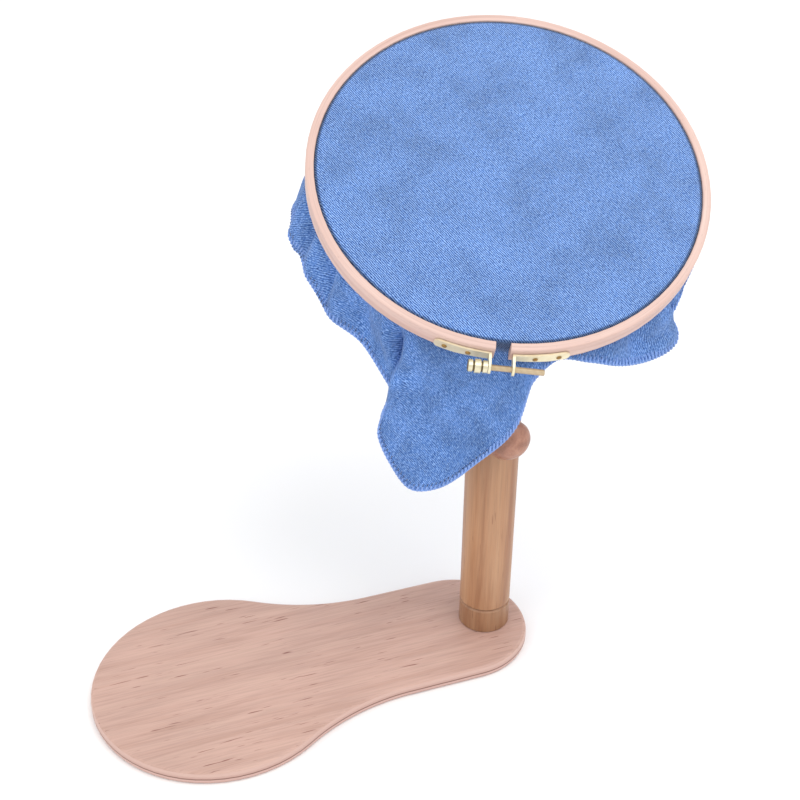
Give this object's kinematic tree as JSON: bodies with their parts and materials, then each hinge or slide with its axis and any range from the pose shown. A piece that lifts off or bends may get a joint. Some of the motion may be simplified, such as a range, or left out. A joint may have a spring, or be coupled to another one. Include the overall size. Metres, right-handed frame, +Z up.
{
  "type": "embroidery hoop on a sit-on stand",
  "caption": "Embroidery hoop on a sit-on paddle stand: swivelling post, height stem with clamp knob, tilting head, split outer ring with brass tension screw, and blue cloth in it.",
  "frame": {"origin": "centre of the base's round seat end, on its underside", "axes": "+X along the base from the seat end to the post, +Y to its left, +Z up along the post"},
  "size_m": [0.437, 0.2623, 0.3883],
  "materials": {
    "plywood": "sanded and lacquered plywood, satin",
    "post_wood": "turned beech, satin lacquer",
    "knob_wood": "turned darker wood, satin lacquer",
    "dowel_wood": "plain turned beech, matt",
    "ring_wood": "steam-bent pale beech, matt",
    "cloth": "brushed blue cotton twill",
    "brass": "bright, pale",
    "copper_brass": "bright, reddish",
    "steel": "zinc plated"
  },
  "bodies": {
    "base": {"base_board": "plywood", "base_screw": "steel", "foot_collar": "post_wood"},
    "post": {"post": "post_wood", "knob_insert": "brass"},
    "knob": {"clamp_knob": "knob_wood", "knob_screw": "steel"},
    "stem": {"stem": "dowel_wood", "tilt_bolt": "steel", "tilt_washer_head": "steel", "tilt_washer_nut": "steel"},
    "tilt_nut": {"tilt_wing_nut": "brass"},
    "hoop": {"tilt_head": "dowel_wood", "roll_peg": "dowel_wood", "peg_washer": "steel", "peg_screw": "steel", "ring_foot": "dowel_wood", "foot_screw_left": "brass", "foot_screw_right": "brass", "inner_ring": "ring_wood", "cloth_panel": "cloth", "cloth_band": "cloth", "cloth_skirt": "cloth"},
    "outer_ring": {"outer_ring": "ring_wood", "bracket_left": "brass", "bracket_right": "brass", "bracket_pin_1": "brass", "bracket_pin_2": "brass", "bracket_pin_3": "brass", "bracket_pin_4": "brass"},
    "tension_screw": {"tension_rod": "copper_brass", "tension_grip": "brass"}
  },
  "joints": [
    {"name": "post_swivel", "type": "hinge", "parent": "base", "child": "post", "pos_m": [0.1945, 0, 0.04], "axis": [0, 0, 1], "continuous": true},
    {"name": "knob_turn", "type": "hinge", "parent": "post", "child": "knob", "pos_m": [0.1945, 0, 0.1798], "axis": [-0.0958, -0.9954, 0], "range_deg": [0, 720]},
    {"name": "stem_height", "type": "slide", "parent": "post", "child": "stem", "axis": [0, 0, 1], "range_m": [-0.018, 0.03], "deforming": ["cloth_skirt"]},
    {"name": "tilt_nut_turn", "type": "hinge", "parent": "stem", "child": "tilt_nut", "pos_m": [0.1945, 0, 0.2327], "axis": [0.9125, -0.409, 0], "range_deg": [0, 720]},
    {"name": "hoop_tilt", "type": "hinge", "parent": "stem", "child": "hoop", "pos_m": [0.1945, 0, 0.2327], "axis": [0.9125, -0.409, 0], "range_deg": [-45, 35], "deforming": ["cloth_skirt"]},
    {"name": "outer_ring_lift", "type": "slide", "parent": "hoop", "child": "outer_ring", "axis": [-0.0971, -0.5096, 0.8549], "range_m": [0, 0.04]},
    {"name": "tension_screw_turn", "type": "hinge", "parent": "outer_ring", "child": "tension_screw", "pos_m": [0.17555, -0.04634, 0.24467], "axis": [-0.9309, 0.3504, 0.1032], "range_deg": [0, 1080]}
  ]
}
